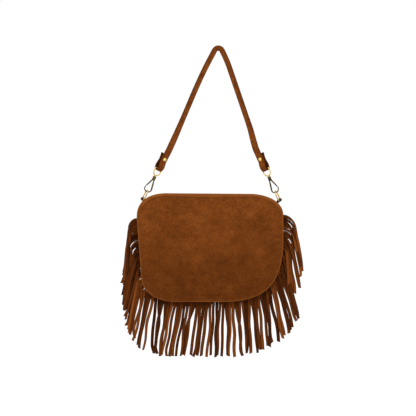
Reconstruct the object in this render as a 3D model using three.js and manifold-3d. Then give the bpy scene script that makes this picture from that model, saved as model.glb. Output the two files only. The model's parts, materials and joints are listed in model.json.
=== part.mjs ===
// Fringed suede shoulder bag, hanging by its strap.
// Millimetres, +Z up, +X to the bag's right as seen from its plain near face, near face towards -Y.
// The origin is the underside of the strap at its top bend, where a peg or hook carries it.
import * as THREE from 'three';
import { LoftGeometry } from 'three/addons/geometries/LoftGeometry.js';
import { mergeVertices } from 'three/addons/utils/BufferGeometryUtils.js';
import Module from 'manifold-3d';

const wasm = await Module();
wasm.setup();

// ---------- driving dimensions ----------
const GAP = 0.3; // clearance between neighbouring solids

// outline of the body in X and Z: where the straight stretches end and the corners begin
const BODY = {
  leftTop: [-148.7, -306], leftBottom: [-140, -418],
  bottomLeft: [-75, -459], bottomRight: [5, -459],
  rightBottom: [115.9, -345], rightTop: [115.9, -303],
  topRight: [60, -264], topLeft: [-95, -262.8],
};
const SEAM_Y = 22; // the two faces are sewn to the gusset at -22 and +22
const FACE = { thickness: 2, bulge: 8, centre: [-16, -362] };
const GUSSET = { thickness: 1.8, inset: 1, topDip: 7 };
const LINING = { inset: 5, wall: 0.8, halfDepth: 19, topZ: -292 };
const ZIP = {
  left: -98, right: 64, // ends of the zip opening along X
  stripEdge: 6, tapeEdge: 10.5, tapeThickness: 0.6,
  toothInner: 0.7, toothOuter: 2.5, toothHeight: 1.8, depth: 3.3,
  stopLength: 2.5, sliderX: 50,
};
const FRINGE = {
  thickness: 1.2, y: 21.1, stripWidth: 4.4, pitch: 5.85, length: 105,
  startLeftZ: -311, startRightZ: -305, bandInner: 7, bandOuter: 1,
  reachLeft: 26, reachRight: 30, reachLow: 6, cornerReach: 12, layerStep: 2.6,
  flareLeft: 0.04, flareRight: 0.11, // share of each strip's first slant that is left at its tip
};
const STRAP = {
  width: 13.5, foldWidth: 11.6, thickness: 3, pairOffset: 1.65, bendRadius: 6.2,
  bendCentre: [-1.2, -4.7], armTwist: 34, topTwist: 28, endTwist: 48,
  loopRadius: 5, tailEnd: -35.5, armStart: -46, rivetAt: -26,
};
const WIRE = 1.1; // radius of the ring, eye and bow wire
const EYE = { halfWidth: 7.7, barAt: -6.9, bottomAt: 7.2, cornerRadius: 2.5, stemRadius: 0.9, headRadius: 1.45 };
const HOOK = {
  barrelTop: 9.2, slotTop: 11.4, blockBottom: 17.6, blockInner: -3.25, blockOuter: 2.4,
  slotInner: -1.75, halfThick: 2.9, cheekInner: 1.9, boreRadius: 1.2,
  pinAt: [0.6, 15], pinRadius: 0.7, bowCentre: [0.5, 34], bowRadius: 6.6, noseTop: 31.6,
};
const GATE = { wire: 0.9, tip: [4.75, 33.2], eyeRadius: 1.8, eyeHalfThick: 1.5 };
const D_RING = { barAt: 56, bowAt: 37.4, halfWidth: 7.4, turn: 18 };
const TAB = { halfWidth: 6, inner: 1.5, thickness: 1.8, stemEnd: 9.5 };
// where the eye and the tab lie on each side: the pull line runs from one to the other
const SIDES = {
  left: { out: -1, eye: [-112.7, -224], bar: [-139, -274.6] },
  right: { out: 1, eye: [87.3, -224.4], bar: [110.6, -276] },
};

const COLOURS = {
  suede: 0x73401c, darkSuede: 0x4a2710, lining: 0x3b2a20, tape: 0x4b2b18,
  brass: 0xc9a24a, agedBrass: 0x5c5030, steel: 0x8c8878,
};

// ---------- small helpers ----------
const v3 = (x, y, z) => new THREE.Vector3(x, y, z);
const rad = THREE.MathUtils.degToRad;
const lerp = THREE.MathUtils.lerp;
const smooth = THREE.MathUtils.smoothstep;

const group = new THREE.Group();
group.name = 'fringed_bag';

function addPart(name, geometry, color, roughness, metalness = 0) {
  const material = new THREE.MeshStandardMaterial({ color, roughness, metalness });
  const mesh = new THREE.Mesh(closed(geometry), material);
  mesh.name = name;
  group.add(mesh);
}

// one closed body: shared vertices merged, sliver faces dropped, faces pointing out
function closed(geometry) {
  const bare = new THREE.BufferGeometry();
  bare.setAttribute('position', geometry.getAttribute('position').clone());
  if (geometry.index) bare.setIndex(geometry.index.clone());
  const merged = mergeVertices(bare, 1e-3);
  const position = merged.getAttribute('position');
  const kept = [];
  let volume = 0;
  const corner = [v3(), v3(), v3()];
  for (let i = 0; i < merged.index.count; i += 3) {
    const face = [0, 1, 2].map((k) => merged.index.getX(i + k));
    if (new Set(face).size < 3) continue;
    face.forEach((vertex, k) => corner[k].fromBufferAttribute(position, vertex));
    volume += corner[0].dot(corner[1].clone().cross(corner[2]));
    kept.push(face);
  }
  merged.setIndex(kept.flatMap((face) => (volume < 0 ? [face[0], face[2], face[1]] : face)));
  return merged;
}

function toSolid(geometry) {
  const mesh = closed(geometry);
  return new wasm.Manifold(new wasm.Mesh({
    numProp: 3,
    vertProperties: new Float32Array(mesh.getAttribute('position').array),
    triVerts: new Uint32Array(mesh.index.array),
  }));
}

function fromSolid(solid) {
  const mesh = solid.getMesh();
  const geometry = new THREE.BufferGeometry();
  geometry.setAttribute('position', new THREE.BufferAttribute(new Float32Array(mesh.vertProperties), 3));
  geometry.setIndex(new THREE.BufferAttribute(new Uint32Array(mesh.triVerts), 1));
  return geometry;
}

const joined = (geometries) => fromSolid(geometries.map(toSolid).reduce((sum, next) => sum.add(next)));
const cut = (geometry, tools) => fromSolid(tools.map(toSolid).reduce((left, tool) => left.subtract(tool), toSolid(geometry)));
const loft = (sections) => new LoftGeometry(sections, { capStart: true, capEnd: true });

// a round wire along a list of points
function wire(points, radius, steps) {
  const circle = new THREE.Shape().absarc(0, 0, radius, 0, Math.PI * 2);
  const path = new THREE.CatmullRomCurve3(points, false, 'centripetal');
  return new THREE.ExtrudeGeometry(circle, { extrudePath: path, steps, curveSegments: 4 });
}

// a lathe whose axis runs along `direction` from `start`; profile pairs are [radius, distance]
function turned(profile, start, direction, segments = 12) {
  const points = profile.map(([radius, along]) => new THREE.Vector2(radius, along));
  const geometry = new THREE.LatheGeometry(points, segments);
  geometry.applyQuaternion(new THREE.Quaternion().setFromUnitVectors(v3(0, 1, 0), direction));
  return geometry.translate(start.x, start.y, start.z);
}

// a box given by its limits in a turned frame with its own origin
function boxIn(frame, low, high) {
  const size = high.map((value, i) => value - low[i]);
  const geometry = new THREE.BoxGeometry(...size);
  geometry.translate(...low.map((value, i) => value + size[i] / 2));
  return geometry.applyMatrix4(frame);
}

const plainFrame = new THREE.Matrix4();

// ---------- body outline ----------
// runs from the top's right end to the left, down, along the bottom and up the right side
function makeOutline() {
  const path = new THREE.CurvePath();
  const p = (pair) => new THREE.Vector2(...pair);
  const corner = (from, c1, c2, to) => path.add(new THREE.CubicBezierCurve(p(from), p(c1), p(c2), p(to)));
  const straight = (from, to) => path.add(new THREE.LineCurve(p(from), p(to)));
  straight(BODY.topRight, BODY.topLeft);
  corner(BODY.topLeft, [-125, -263], [-148.7, -275], BODY.leftTop);
  straight(BODY.leftTop, BODY.leftBottom);
  corner(BODY.leftBottom, [-137, -442], [-115, -459], BODY.bottomLeft);
  straight(BODY.bottomLeft, BODY.bottomRight);
  corner(BODY.bottomRight, [80, -459], [115.9, -432], BODY.rightBottom);
  straight(BODY.rightBottom, BODY.rightTop);
  corner(BODY.rightTop, [115.9, -280], [92, -266], BODY.topRight);
  return path;
}

const outline = makeOutline();
const perimeter = outline.getLength();

function outlineAt(u) {
  const wrapped = ((u % 1) + 1) % 1;
  const point = outline.getPointAt(wrapped);
  const tangent = outline.getTangentAt(wrapped);
  return { x: point.x, z: point.y, tx: tangent.x, tz: tangent.y, nx: tangent.y, nz: -tangent.x };
}

// the outline position nearest to a place in X and Z
function nearestU(x, z) {
  const samples = 1200;
  let best = 0;
  let bestDistance = Infinity;
  for (let i = 0; i < samples; i++) {
    const at = outlineAt(i / samples);
    const distance = Math.hypot(at.x - x, at.z - z);
    if (distance < bestDistance) [best, bestDistance] = [i / samples, distance];
  }
  return best;
}

const tabLeftU = nearestU(...SIDES.left.bar);
const tabRightU = nearestU(...SIDES.right.bar);
const zipLeftU = nearestU(ZIP.left, BODY.topLeft[1]);
const zipRightU = nearestU(ZIP.right, BODY.topRight[1]);

// the strip that joins the faces: it sinks between them along the top
function wallPoint(u, y, inset) {
  const at = outlineAt(u);
  const dip = GUSSET.topDip * smooth(at.nz, 0.3, 0.95) * (1 - (y / SEAM_Y) ** 2);
  const depth = inset + dip;
  return v3(at.x - at.nx * depth, y, at.z - at.nz * depth);
}

// a patch of that strip between two outline positions and two Y values
function wallPatch(u0, u1, y0, y1, inset, thickness, along, across) {
  const sections = [];
  for (let i = 0; i <= along; i++) {
    const u = lerp(u0, u1, i / along);
    const row = (depth) => Array.from({ length: across + 1 }, (_, k) => wallPoint(u, lerp(y0, y1, k / across), depth));
    sections.push([...row(inset), ...row(inset + thickness).reverse()]);
  }
  return loft(sections);
}

// ---------- faces ----------
const FACE_RINGS = [0, 0.3, 0.6, 0.8, 0.93, 0.985];

function face(side) {
  const around = 56;
  const inner = SEAM_Y;
  const bulge = (scale) => FACE.bulge * (1 - scale ** 2.4);
  const ring = (scale, y) => Array.from({ length: around }, (_, i) => {
    const at = outlineAt(i / around);
    const x = lerp(FACE.centre[0], at.x, scale);
    const z = lerp(FACE.centre[1], at.z, scale);
    return v3(x, side * (y + bulge(scale)), z);
  });
  const outerRings = FACE_RINGS.map((scale) => ring(scale, inner + FACE.thickness));
  const rim = ring(1, inner + FACE.thickness / 2);
  const innerRim = ring(0.997, inner);
  const innerRings = FACE_RINGS.slice(0, -1).reverse().map((scale) => ring(scale, inner));
  return new LoftGeometry([...outerRings, rim, innerRim, ...innerRings]);
}

addPart('near_panel', face(-1), COLOURS.suede, 0.95);
addPart('far_panel', face(1), COLOURS.suede, 0.95);

// ---------- pull line of each side: eye, hook and ring lie on it ----------
function makeSide(name) {
  const { out, eye, bar } = SIDES[name];
  const origin = v3(eye[0], 0, eye[1]);
  const down = v3(bar[0] - eye[0], 0, bar[1] - eye[1]).normalize();
  const outward = v3(-down.z * out, 0, down.x * out);
  const depth = v3(0, 1, 0);
  const twist = rad(STRAP.endTwist);
  const faceNormal = outward.clone().multiplyScalar(-Math.cos(twist)).addScaledVector(depth, -Math.sin(twist));
  const strapWidth = outward.clone().multiplyScalar(Math.sin(twist)).addScaledVector(depth, -Math.cos(twist));
  const turn = rad(D_RING.turn);
  const barAxis = depth.clone().multiplyScalar(Math.cos(turn)).addScaledVector(outward, Math.sin(turn));
  const place = (a, across, axis = outward) => origin.clone().addScaledVector(down, a).addScaledVector(axis, across);
  const hookFrame = new THREE.Matrix4().makeBasis(outward, depth, down).setPosition(origin);
  if (hookFrame.determinant() < 0) hookFrame.makeBasis(outward, depth.clone().negate(), down).setPosition(origin);
  return { name, out, origin, down, outward, depth, faceNormal, strapWidth, barAxis, place, hookFrame };
}

const chains = [makeSide('left'), makeSide('right')];

// ---------- ring tabs, caught between the gusset and the zip ends ----------
function tabFrame(chain) {
  const at = outlineAt(chain.name === 'left' ? tabLeftU : tabRightU);
  const inward = v3(-at.nx, 0, -at.nz);
  inward.addScaledVector(chain.barAxis, -inward.dot(chain.barAxis)).normalize();
  const side = chain.barAxis.clone().cross(inward);
  const centre = chain.place(D_RING.barAt, 0);
  return new THREE.Matrix4().makeBasis(inward, side, chain.barAxis).setPosition(centre);
}

// a folded loop in section: a ring round the bar that closes into a double stem
function ringTab(chain) {
  const { inner, thickness, halfWidth, stemEnd } = TAB;
  const outer = inner + thickness;
  const loop = new THREE.Shape().absarc(0, 0, outer, 0, Math.PI * 2);
  loop.holes.push(new THREE.Path().absarc(0, 0, inner, 0, Math.PI * 2, true));
  const extrude = { depth: 2 * halfWidth, bevelEnabled: false, curveSegments: 9 };
  const ring = new THREE.ExtrudeGeometry(loop, extrude).translate(0, 0, -halfWidth);
  const stem = boxIn(plainFrame, [inner + 0.5, -thickness, -halfWidth], [stemEnd, thickness, halfWidth]);
  return joined([ring, stem]).applyMatrix4(tabFrame(chain));
}

function tabSlot(chain) {
  const half = TAB.thickness + GAP;
  const wide = TAB.halfWidth + GAP;
  return boxIn(tabFrame(chain), [0, -half, -wide], [TAB.stemEnd + 4, half, wide]);
}

const tabSlots = chains.map(tabSlot);
chains.forEach((chain) => addPart(`ring_tab_${chain.name}`, ringTab(chain), COLOURS.darkSuede, 0.9));

// ---------- gusset, zip ends and zip facings ----------
const seamNear = -(SEAM_Y - GAP);
const seamFar = FRINGE.y - FRINGE.thickness / 2 - GAP;
const endGap = GAP / perimeter;
const strip = (u0, u1, y0, y1, along, across) =>
  wallPatch(u0, u1, y0, y1, GUSSET.inset, GUSSET.thickness, along, across);

addPart('gusset', cut(strip(tabLeftU + endGap, tabRightU - endGap, seamNear, seamFar, 52, 4), tabSlots),
  COLOURS.suede, 0.95);
addPart('zip_end_left', cut(strip(zipLeftU + endGap, tabLeftU, seamNear, seamFar, 9, 6), tabSlots),
  COLOURS.suede, 0.95);
addPart('zip_end_right', cut(strip(tabRightU, zipRightU - endGap, seamNear, seamFar, 9, 6), tabSlots),
  COLOURS.suede, 0.95);
addPart('zip_strip_near', strip(zipRightU - 1, zipLeftU, seamNear, -ZIP.stripEdge, 8, 4), COLOURS.suede, 0.95);
addPart('zip_strip_far', strip(zipRightU - 1, zipLeftU, ZIP.stripEdge, seamFar, 8, 4), COLOURS.suede, 0.95);

// ---------- zip: tapes, rows of teeth, stops, slider and pull ----------
const tapeInset = GUSSET.inset + GUSSET.thickness + GAP;
const toothEdge = ZIP.toothOuter + GAP;
const tape = (y0, y1) => wallPatch(zipRightU - 1, zipLeftU, y0, y1, tapeInset, ZIP.tapeThickness, 8, 2);
addPart('zip_tape_near', tape(-ZIP.tapeEdge, -toothEdge), COLOURS.tape, 0.9);
addPart('zip_tape_far', tape(toothEdge, ZIP.tapeEdge), COLOURS.tape, 0.9);

// the zip runs straight along the top edge, sunk below it; u along X, v across, w up
const zipLine = v3(BODY.topRight[0] - BODY.topLeft[0], 0, BODY.topRight[1] - BODY.topLeft[1]).normalize();
const zipUp = zipLine.clone().cross(v3(0, 1, 0));
const zipDepth = ZIP.depth + GUSSET.topDip;
const zipOrigin = v3(0, 0, lerp(BODY.topLeft[1], BODY.topRight[1], -BODY.topLeft[0] / (BODY.topRight[0] - BODY.topLeft[0])));
zipOrigin.addScaledVector(zipUp, -zipDepth);
const zipFrame = new THREE.Matrix4().makeBasis(zipLine, v3(0, 1, 0), zipUp).setPosition(zipOrigin);
const halfTooth = ZIP.toothHeight / 2;
const toothLeft = ZIP.left + 4;
const toothRight = ZIP.right - 6;
const zipBox = (low, high) => boxIn(zipFrame, low, high);

addPart('zip_teeth_near', zipBox([toothLeft, -ZIP.toothOuter, -halfTooth], [toothRight, -ZIP.toothInner, halfTooth]),
  COLOURS.brass, 0.4, 1);
addPart('zip_teeth_far', zipBox([toothLeft, ZIP.toothInner, -halfTooth], [toothRight, ZIP.toothOuter, halfTooth]),
  COLOURS.brass, 0.4, 1);
const stopBox = (x) => zipBox([x, -ZIP.toothOuter, -1.3], [x + ZIP.stopLength, ZIP.toothOuter, 1.3]);
addPart('zip_stop_left', stopBox(toothLeft - ZIP.stopLength - GAP), COLOURS.brass, 0.4, 1);
addPart('zip_stop_right', stopBox(toothRight + GAP), COLOURS.brass, 0.4, 1);

const SLIDER = { halfLength: 5.5, halfWidth: 4.2, plate: 1.1, post: 0.4, bridgeHalf: 3.2, bridgeRise: 1.9 };
const plateGap = halfTooth + GAP;
const plateTop = plateGap + SLIDER.plate;
const pullAxis = plateTop + SLIDER.bridgeRise / 2;

function zipSlider() {
  const { halfLength, halfWidth, post, bridgeHalf, bridgeRise } = SLIDER;
  const x = ZIP.sliderX;
  const plate = (low, high) => zipBox([x - halfLength, -halfWidth, low], [x + halfLength, halfWidth, high]);
  const foot = (from, to) => zipBox([x + from, -0.8, plateTop - 0.2], [x + to, 0.8, plateTop + bridgeRise + 1]);
  return joined([
    plate(plateGap, plateTop),
    plate(-plateTop, -plateGap),
    zipBox([x + 2, -post, -plateTop + 0.2], [x + 4.5, post, plateTop - 0.2]),
    foot(-bridgeHalf - 1, -bridgeHalf),
    foot(bridgeHalf, bridgeHalf + 1),
    zipBox([x - bridgeHalf - 0.5, -0.8, plateTop + bridgeRise], [x + bridgeHalf + 0.5, 0.8, plateTop + bridgeRise + 1]),
  ]);
}
addPart('zip_slider', zipSlider(), COLOURS.brass, 0.35, 1);

// the pull lies back over the closed zip; its cross bar sits under the slider's bridge
const PULL = { bar: 0.6, armInner: 1.2, halfWidth: 3.2, length: 21, thickness: 1.1 };

function zipPull() {
  const x = ZIP.sliderX;
  const { bar, armInner, halfWidth, length, thickness } = PULL;
  const half = thickness / 2;
  const flat = (x0, x1, y0, y1) => zipBox([x + x0, y0, pullAxis - half], [x + x1, y1, pullAxis + half]);
  const barEnds = turned([[0, -halfWidth], [bar, -halfWidth], [bar, halfWidth], [0, halfWidth]],
    v3(x, 0, pullAxis).applyMatrix4(zipFrame), v3(0, 1, 0), 10);
  return joined([
    barEnds,
    flat(-6, 0, armInner, halfWidth),
    flat(-6, 0, -halfWidth, -armInner),
    flat(-length, -5.5, -halfWidth, halfWidth),
  ]);
}
addPart('zip_pull', zipPull(), COLOURS.brass, 0.35, 1);

// ---------- lining: an open pouch inside the faces and gusset ----------
function liningPouch() {
  const { inset, wall, halfDepth, topZ } = LINING;
  const shapeAt = (depth, ceiling) => {
    const points = [];
    for (let i = 0; i <= 40; i++) {
      const at = outlineAt(lerp(tabLeftU, tabRightU, i / 40));
      points.push(new THREE.Vector2(at.x - at.nx * depth, Math.min(at.z - at.nz * depth, ceiling)));
    }
    return new THREE.Shape(points);
  };
  const block = (depth, ceiling, half) =>
    new THREE.ExtrudeGeometry(shapeAt(depth, ceiling), { depth: 2 * half, bevelEnabled: false })
      .rotateX(Math.PI / 2).translate(0, half, 0);
  return cut(block(inset, topZ, halfDepth), [block(inset + wall, topZ + 1, halfDepth - wall)]);
}
addPart('lining', liningPouch(), COLOURS.lining, 0.9);

// ---------- fringe: a band in the far seam, slit into strips ----------
function fringeRoots() {
  const first = nearestU(BODY.leftTop[0], FRINGE.startLeftZ);
  const last = nearestU(BODY.rightTop[0], FRINGE.startRightZ);
  const count = Math.round(((last - first) * perimeter) / FRINGE.pitch);
  return Array.from({ length: count + 1 }, (_, i) => ({ i, u: lerp(first, last, i / count) }));
}

// how far a strip swings out before it hangs: most at the top of each side
function reachOf(at) {
  const sideways = Math.abs(at.nx);
  const top = at.nx < 0 ? FRINGE.reachLeft : FRINGE.reachRight;
  const foot = at.nx < 0 ? BODY.leftBottom[1] : BODY.rightBottom[1] - 40;
  const fall = smooth(FRINGE.startLeftZ - at.z, 0, FRINGE.startLeftZ - foot);
  return lerp(FRINGE.cornerReach, lerp(top, FRINGE.reachLow, fall), smooth(sideways, 0.6, 1));
}

function fringeStrip({ i, u }) {
  const at = outlineAt(u);
  const side = Math.sign(at.nx) || 1;
  const lean = Math.acos(THREE.MathUtils.clamp(-at.nz, -1, 1)); // 0 hanging, a right angle at the sides
  const radius = reachOf(at);
  const bend = Math.max(radius * lean, 0.01);
  const leanEnd = (at.nx < 0 ? FRINGE.flareLeft : FRINGE.flareRight) * lean;
  const layer = (i % 2 ? 1 : -1) * FRINGE.layerStep * smooth(lean, 0.7, 1.3);
  const half = FRINGE.stripWidth / 2;
  const thick = FRINGE.thickness / 2;
  const stops = lean > 0.35 ? [-1.5, 0, 0.2, 0.4, 0.6, 0.8, 1] : [-1.5, 0, 0.5, 1];
  const lengths = stops.map((t) => (t < 0 ? t : t * Math.min(bend, FRINGE.length * 0.6)));
  lengths.push(FRINGE.length);
  const sections = [];
  let [x, z, s] = [at.x, at.z, 0];
  for (const stop of lengths) {
    const pieces = 6;
    for (let k = 0; k < pieces; k++) {
      const middle = s + ((stop - s) * (k + 0.5)) / pieces;
      const angle = side * lerp(lean, leanEnd, THREE.MathUtils.clamp(middle / bend, 0, 1));
      x += (Math.sin(angle) * (stop - s)) / pieces;
      z -= (Math.cos(angle) * (stop - s)) / pieces;
      if (k === pieces - 1) s = stop;
    }
    const angle = side * lerp(lean, leanEnd, THREE.MathUtils.clamp(s / bend, 0, 1));
    const turn = (lean > 0.35 ? smooth(s / bend, 0.1, 0.9) : 0) * lean;
    const across = v3(Math.cos(angle), 0, Math.sin(angle)).multiplyScalar(Math.cos(turn)).add(v3(0, Math.sin(turn), 0));
    const along = v3(Math.sin(angle), 0, -Math.cos(angle));
    const through = along.clone().cross(across).normalize();
    const middle = v3(x, FRINGE.y + layer * smooth(s / bend, 0.2, 1), z);
    sections.push([[-1, -1], [1, -1], [1, 1], [-1, 1]].map(([a, b]) =>
      middle.clone().addScaledVector(across, a * half).addScaledVector(through, b * thick)));
  }
  return loft(sections);
}

function fringe() {
  const roots = fringeRoots();
  const pad = 2.5 / perimeter;
  const band = wallPatch(roots[0].u - pad, roots.at(-1).u + pad, FRINGE.y - FRINGE.thickness / 2,
    FRINGE.y + FRINGE.thickness / 2, -FRINGE.bandOuter, FRINGE.bandInner + FRINGE.bandOuter, 44, 1);
  return joined([band, ...roots.map(fringeStrip)]);
}
addPart('fringe', fringe(), COLOURS.suede, 0.95);

// ---------- rings ----------
// a D: straight bar with the bow's round end up the pull line
function dRing(chain) {
  const { barAt, bowAt, halfWidth } = D_RING;
  const spot = (a, across) => chain.place(a, across, chain.barAxis);
  const arcCentre = bowAt + halfWidth;
  const bow = [spot(barAt, -halfWidth), spot((barAt + arcCentre) / 2, -halfWidth)];
  for (let degrees = -90; degrees <= 90; degrees += 18) {
    bow.push(spot(arcCentre - halfWidth * Math.cos(rad(degrees)), halfWidth * Math.sin(rad(degrees))));
  }
  bow.push(spot((barAt + arcCentre) / 2, halfWidth), spot(barAt, halfWidth));
  const end = halfWidth + WIRE;
  const bar = turned([[0, -end], [WIRE * 0.7, -end], [WIRE, -end + 0.4], [WIRE, end - 0.4], [WIRE * 0.7, end], [0, end]],
    spot(barAt, 0), chain.barAxis, 8);
  return joined([wire(bow, WIRE, 18), bar]);
}

// ---------- swivel eye: a D for the strap, on a headed stem ----------
function swivelEye(chain) {
  const { halfWidth, barAt, bottomAt, cornerRadius, stemRadius, headRadius } = EYE;
  const spot = (a, across) => chain.place(a, across, chain.strapWidth);
  const arcCentre = bottomAt - halfWidth;
  const points = [];
  for (let degrees = 10; degrees <= 90; degrees += 16) {
    points.push(spot(arcCentre + halfWidth * Math.cos(rad(degrees)), halfWidth * Math.sin(rad(degrees))));
  }
  for (let degrees = 0; degrees <= 90; degrees += 30) {
    points.push(spot(barAt + cornerRadius * (1 - Math.sin(rad(degrees))),
      halfWidth - cornerRadius * (1 - Math.cos(rad(degrees)))));
  }
  const mirrored = points.map((point) => point.clone().addScaledVector(chain.strapWidth,
    -2 * point.clone().sub(chain.origin).dot(chain.strapWidth))).reverse();
  const ring = wire([...points, ...mirrored], WIRE, 34);
  const neck = HOOK.barrelTop - GAP;
  const head = HOOK.slotTop + GAP;
  const stem = turned([[0, bottomAt - WIRE], [2, bottomAt - WIRE], [2.2, bottomAt + 0.4], [1.9, neck], [stemRadius, neck],
    [stemRadius, head], [headRadius, head], [headRadius, head + 0.6], [0, head + 1]], chain.origin, chain.down, 10);
  return joined([ring, stem]);
}

// ---------- snap hook: barrel block, bow, and a sprung gate on a pin ----------
const inHook = (chain, x, a) => chain.place(a, x);

function snapHook(chain) {
  const { bowCentre, bowRadius, noseTop, halfThick, cheekInner, pinAt } = HOOK;
  const block = boxIn(chain.hookFrame, [HOOK.blockInner, -halfThick, HOOK.barrelTop], [HOOK.blockOuter, halfThick, HOOK.blockBottom]);
  const slot = boxIn(chain.hookFrame, [HOOK.slotInner, -cheekInner, HOOK.slotTop], [HOOK.blockOuter + 1, cheekInner, HOOK.blockBottom + 1]);
  const bore = turned([[0, HOOK.barrelTop - 1], [HOOK.boreRadius, HOOK.barrelTop - 1],
    [HOOK.boreRadius, HOOK.slotTop + 1], [0, HOOK.slotTop + 1]], chain.origin, chain.down, 10);
  const pinHole = cylinderAcross(chain, pinAt, HOOK.pinRadius + GAP, halfThick + 1);
  const inner = HOOK.blockInner + WIRE * 0.75;
  const points = [inHook(chain, inner, HOOK.blockBottom - 3), inHook(chain, inner, HOOK.blockBottom)];
  for (let degrees = -78; degrees <= 90; degrees += 14) {
    points.push(inHook(chain, bowCentre[0] + bowRadius * Math.sin(rad(degrees)),
      bowCentre[1] + bowRadius * Math.cos(rad(degrees))));
  }
  points.push(inHook(chain, bowCentre[0] + bowRadius - 0.2, noseTop));
  const bow = wire(points, WIRE, 24);
  return fromSolid(toSolid(block).add(toSolid(bow))
    .subtract(toSolid(slot)).subtract(toSolid(bore)).subtract(toSolid(pinHole)));
}

function cylinderAcross(chain, at, radius, half) {
  return turned([[0, -half], [radius, -half], [radius, half], [0, half]],
    inHook(chain, ...at), chain.depth, 10);
}

function hookGate(chain) {
  const { wire: radius, tip, eyeRadius, eyeHalfThick } = GATE;
  const start = inHook(chain, ...HOOK.pinAt);
  const end = inHook(chain, ...tip);
  const direction = end.clone().sub(start);
  const length = direction.length();
  direction.normalize();
  const bar = turned([[0, 1], [radius * 1.15, 1], [radius, length * 0.5], [radius, length - 0.5], [radius * 0.6, length],
    [0, length]], start, direction, 8);
  const eye = cylinderAcross(chain, HOOK.pinAt, eyeRadius, eyeHalfThick);
  return cut(joined([bar, eye]), [cylinderAcross(chain, HOOK.pinAt, HOOK.pinRadius + GAP, 3)]);
}

// a leaf spring folded into the block beside the gate's eye
function gateSpring(chain) {
  const x = HOOK.slotInner + GAP;
  return boxIn(chain.hookFrame, [x, -1.2, HOOK.slotTop + 4.6], [x + 0.25, 1.2, HOOK.blockBottom - 0.2]);
}

for (const chain of chains) {
  addPart(`d_ring_${chain.name}`, dRing(chain), COLOURS.brass, 0.3, 1);
  addPart(`swivel_eye_${chain.name}`, swivelEye(chain), COLOURS.brass, 0.3, 1);
  addPart(`snap_hook_${chain.name}`, snapHook(chain), COLOURS.agedBrass, 0.35, 1);
  addPart(`hook_gate_${chain.name}`, hookGate(chain), COLOURS.agedBrass, 0.35, 1);
  addPart(`gate_pin_${chain.name}`, cylinderAcross(chain, HOOK.pinAt, HOOK.pinRadius, HOOK.halfThick), COLOURS.brass, 0.3, 1);
  addPart(`gate_spring_${chain.name}`, gateSpring(chain), COLOURS.steel, 0.4, 1);
}

// ---------- strap: one folded band, both ends turned back round the eyes ----------
// each frame has a place, a width direction and the half width there
function endLoop(chain) {
  const { pairOffset, loopRadius, tailEnd, rivetAt, foldWidth, width, thickness } = STRAP;
  const bottom = EYE.barAt + WIRE + GAP + 0.1 - (loopRadius - thickness / 2);
  const local = [[STRAP.armStart, -pairOffset], [rivetAt - 8, -pairOffset], [rivetAt, -pairOffset], [rivetAt + 4, -pairOffset],
    [-16, -pairOffset - 1.9], [bottom - 3, -loopRadius + 0.2]];
  for (let degrees = -90; degrees <= 90; degrees += 30) {
    local.push([bottom + loopRadius * Math.cos(rad(degrees)), loopRadius * Math.sin(rad(degrees))]);
  }
  local.push([bottom - 3, loopRadius - 0.2], [-16, pairOffset + 1.9], [rivetAt + 4, pairOffset], [rivetAt, pairOffset],
    [rivetAt - 5, pairOffset], [tailEnd, pairOffset]);
  const curve = new THREE.CatmullRomCurve3(local.map(([a, b]) => v3(a, b, 0)), false, 'centripetal');
  const steps = 34;
  return Array.from({ length: steps + 1 }, (_, i) => {
    const point = curve.getPointAt(i / steps);
    const fold = smooth(point.x, -14, -7);
    return {
      place: chain.place(point.x, 0).addScaledVector(chain.faceNormal, -point.y),
      across: chain.strapWidth.clone(),
      half: lerp(width, foldWidth, fold) / 2,
    };
  });
}

function strapFrames() {
  const [left, right] = chains.map(endLoop);
  const [cx, cz] = STRAP.bendCentre;
  const arc = [];
  for (let degrees = 155; degrees >= 20; degrees -= 22.5) {
    arc.push(v3(cx + STRAP.bendRadius * Math.cos(rad(degrees)), 0, cz + STRAP.bendRadius * Math.sin(rad(degrees))));
  }
  const arm = (from, to, side, backwards) => {
    const fractions = [0.06, 0.14, 0.3, 0.5, 0.7, 0.9];
    if (backwards) fractions.reverse().forEach((f, i) => { fractions[i] = f; });
    return fractions.map((f) => {
      const place = from.clone().lerp(to, f);
      const degrees = lerp(STRAP.endTwist, STRAP.armTwist, smooth(f, 0, 0.35));
      return { place, across: widthAt(side, from, to, degrees), half: STRAP.width / 2 };
    });
  };
  const leftArm = arm(left[0].place, arc[0], -1, false);
  const rightArm = arm(right[0].place, arc.at(-1), 1, true);
  const bend = arc.map((place, i) => {
    const t = i / (arc.length - 1);
    const along = v3(cz - place.z, 0, place.x - cx).normalize();
    const twist = rad(lerp(STRAP.topTwist, STRAP.armTwist, Math.abs(2 * t - 1) ** 2));
    const inner = v3(cx - place.x, 0, cz - place.z).normalize();
    const faceNormal = inner.multiplyScalar(Math.cos(twist)).add(v3(0, -Math.sin(twist), 0));
    return { place, across: faceNormal.cross(along).normalize(), half: STRAP.width / 2 };
  });
  return { left, leftArm, bend, rightArm, right };
}

// the strap's width direction on a straight arm whose face turns towards -Y by `degrees`
function widthAt(side, from, to, degrees) {
  const up = to.clone().sub(from).normalize();
  const inner = v3(-side * up.z, 0, side * up.x);
  const faceNormal = inner.multiplyScalar(Math.cos(rad(degrees))).add(v3(0, -Math.sin(rad(degrees)), 0));
  return faceNormal.cross(up).normalize();
}

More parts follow.
